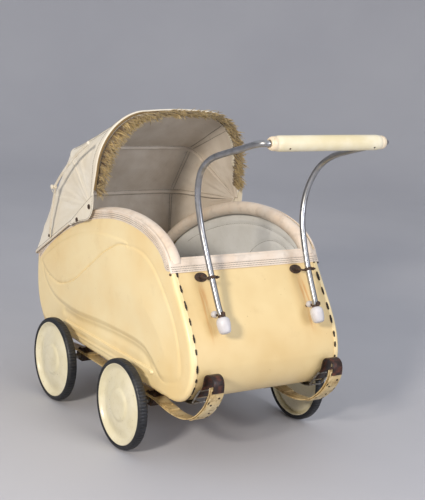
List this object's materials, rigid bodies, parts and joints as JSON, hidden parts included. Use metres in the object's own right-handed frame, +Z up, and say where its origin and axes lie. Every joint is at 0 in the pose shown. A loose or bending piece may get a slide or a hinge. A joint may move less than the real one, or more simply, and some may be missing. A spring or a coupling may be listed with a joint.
{
  "type": "sprung pram",
  "caption": "Low streamlined pram: pressed cream steel tub on C-shaped spring strips and leather straps, disc wheels, folding three-bow hood with fringe, and a bent tube handle.",
  "frame": {"origin": "on the floor, under the middle of the pram's outline", "axes": "+Z up, +Y from the handle end towards the hood end, X across the pram with the left side at -X"},
  "size_m": [0.552, 1.0293, 0.806],
  "materials": {
    "cream_enamel": "aged gloss enamel, chipped along the seams",
    "ivory_enamel": "aged gloss enamel",
    "tyre_rubber": "dull black rubber",
    "painted_spring_steel": "cream paint worn to brown",
    "bare_steel": "dull steel",
    "rusted_steel": "rusted",
    "chrome_tube": "worn chrome plate",
    "painted_wood": "worn ivory paint",
    "white_rubber": "matt moulded rubber",
    "leathercloth": "coated cloth, stitched",
    "hood_cloth": "coated hood cloth",
    "painted_stay": "off-white enamel",
    "lining_cloth": "grey-white coated lining",
    "fringe_yarn": "cut cotton yarn",
    "strap_leather": "dark brown harness leather"
  },
  "bodies": {
    "chassis": {"axle_clamp_front_left": "rusted_steel", "axle_clamp_front_right": "rusted_steel", "axle_clamp_rear_left": "rusted_steel", "axle_clamp_rear_right": "rusted_steel", "axle_front": "bare_steel", "axle_rear": "bare_steel", "spring_strip_left": "painted_spring_steel", "spring_strip_right": "painted_spring_steel", "strap_front_left": "strap_leather", "strap_front_right": "strap_leather", "strap_rear_left": "strap_leather", "strap_rear_right": "strap_leather"},
    "pram_body": {"floor_pan": "cream_enamel", "front_panel": "cream_enamel", "grip": "painted_wood", "handle_bracket_left": "rusted_steel", "handle_bracket_right": "rusted_steel", "handle_ferrule_left": "white_rubber", "handle_ferrule_right": "white_rubber", "handle_spacer_left": "white_rubber", "handle_spacer_right": "white_rubber", "handle_tube": "chrome_tube", "lining_left": "lining_cloth", "lining_right": "lining_cloth", "rear_panel": "cream_enamel", "rear_rim_band": "leathercloth", "rear_rim_roll": "leathercloth", "side_panel_left": "cream_enamel", "side_panel_right": "cream_enamel", "side_rim_band_left": "leathercloth", "side_rim_band_right": "leathercloth", "side_rim_roll_left": "leathercloth", "side_rim_roll_right": "leathercloth", "strap_ring_front_left": "bare_steel", "strap_ring_front_right": "bare_steel", "strap_ring_rear_left": "bare_steel", "strap_ring_rear_right": "bare_steel"},
    "wheel_rear_left": {"wheel_disc_rear_left": "ivory_enamel", "tyre_rear_left": "tyre_rubber"},
    "wheel_rear_right": {"wheel_disc_rear_right": "ivory_enamel", "tyre_rear_right": "tyre_rubber"},
    "wheel_front_left": {"wheel_disc_front_left": "ivory_enamel", "tyre_front_left": "tyre_rubber"},
    "wheel_front_right": {"wheel_disc_front_right": "ivory_enamel", "tyre_front_right": "tyre_rubber"},
    "back_bow": {"hood_bow_back": "bare_steel", "hood_cloth_back": "hood_cloth"},
    "middle_bow": {"hood_bow_middle": "bare_steel", "hood_cloth_middle": "hood_cloth"},
    "front_bow": {"hood_bow_front": "bare_steel", "hood_cloth_front": "hood_cloth", "hood_fringe": "fringe_yarn"},
    "stay_left_lower": {"stay_lower_left": "painted_stay"},
    "stay_left_upper": {"stay_upper_left": "painted_stay"},
    "stay_right_lower": {"stay_lower_right": "painted_stay"},
    "stay_right_upper": {"stay_upper_right": "painted_stay"}
  },
  "joints": [
    {"name": "wheel_rear_left_spin", "type": "hinge", "parent": "chassis", "child": "wheel_rear_left", "pos_m": [-0.26, -0.1287, 0.1106], "axis": [1, 0, 0], "continuous": true},
    {"name": "wheel_rear_right_spin", "type": "hinge", "parent": "chassis", "child": "wheel_rear_right", "pos_m": [0.26, -0.1287, 0.1106], "axis": [1, 0, 0], "continuous": true},
    {"name": "wheel_front_left_spin", "type": "hinge", "parent": "chassis", "child": "wheel_front_left", "pos_m": [-0.26, 0.2413, 0.1106], "axis": [1, 0, 0], "continuous": true},
    {"name": "wheel_front_right_spin", "type": "hinge", "parent": "chassis", "child": "wheel_front_right", "pos_m": [0.26, 0.2413, 0.1106], "axis": [1, 0, 0], "continuous": true},
    {"name": "body_bounce", "type": "slide", "parent": "chassis", "child": "pram_body", "axis": [0, 0, 1], "range_m": [-0.018, 0.008], "stiffness_N_per_m": 9000, "springref_m": 0.01782, "deforming": ["strap_front_left", "strap_front_right", "strap_rear_left", "strap_rear_right"]},
    {"name": "hood_back_fold", "type": "hinge", "parent": "pram_body", "child": "back_bow", "pos_m": [0, 0.1493, 0.54], "axis": [-1, 0, 0], "range_deg": [0, 4.2], "deforming": ["hood_cloth_back"]},
    {"name": "hood_middle_fold", "type": "hinge", "parent": "back_bow", "child": "middle_bow", "pos_m": [0, 0.1493, 0.54], "axis": [-1, 0, 0], "range_deg": [0, 27.5], "deforming": ["hood_cloth_middle"]},
    {"name": "hood_fold", "type": "hinge", "parent": "middle_bow", "child": "front_bow", "pos_m": [0, 0.1493, 0.54], "axis": [-1, 0, 0], "range_deg": [0, 54.9], "deforming": ["hood_cloth_front"]},
    {"name": "stay_left_foot", "type": "hinge", "parent": "pram_body", "child": "stay_left_lower", "pos_m": [-0.2295, 0.3713, 0.417], "axis": [-1, 0, 0], "range_deg": [0, 96.3]},
    {"name": "stay_left_elbow", "type": "hinge", "parent": "stay_left_lower", "child": "stay_left_upper", "pos_m": [-0.2312, 0.3453, 0.556], "axis": [1, 0, 0], "range_deg": [0, 106.1]},
    {"name": "stay_right_foot", "type": "hinge", "parent": "pram_body", "child": "stay_right_lower", "pos_m": [0.2295, 0.3713, 0.417], "axis": [-1, 0, 0], "range_deg": [0, 96.3]},
    {"name": "stay_right_elbow", "type": "hinge", "parent": "stay_right_lower", "child": "stay_right_upper", "pos_m": [0.2312, 0.3453, 0.556], "axis": [1, 0, 0], "range_deg": [0, 106.1]}
  ],
  "couplings": [
    {"joint": "hood_middle_fold", "follows": "hood_fold", "ratio": 0.50089},
    {"joint": "hood_back_fold", "follows": "hood_fold", "ratio": 0.07648},
    {"joint": "stay_left_foot", "follows": "hood_fold", "ratio": 1.754},
    {"joint": "stay_left_elbow", "follows": "hood_fold", "ratio": 1.9325},
    {"joint": "stay_right_foot", "follows": "hood_fold", "ratio": 1.754},
    {"joint": "stay_right_elbow", "follows": "hood_fold", "ratio": 1.9325}
  ]
}
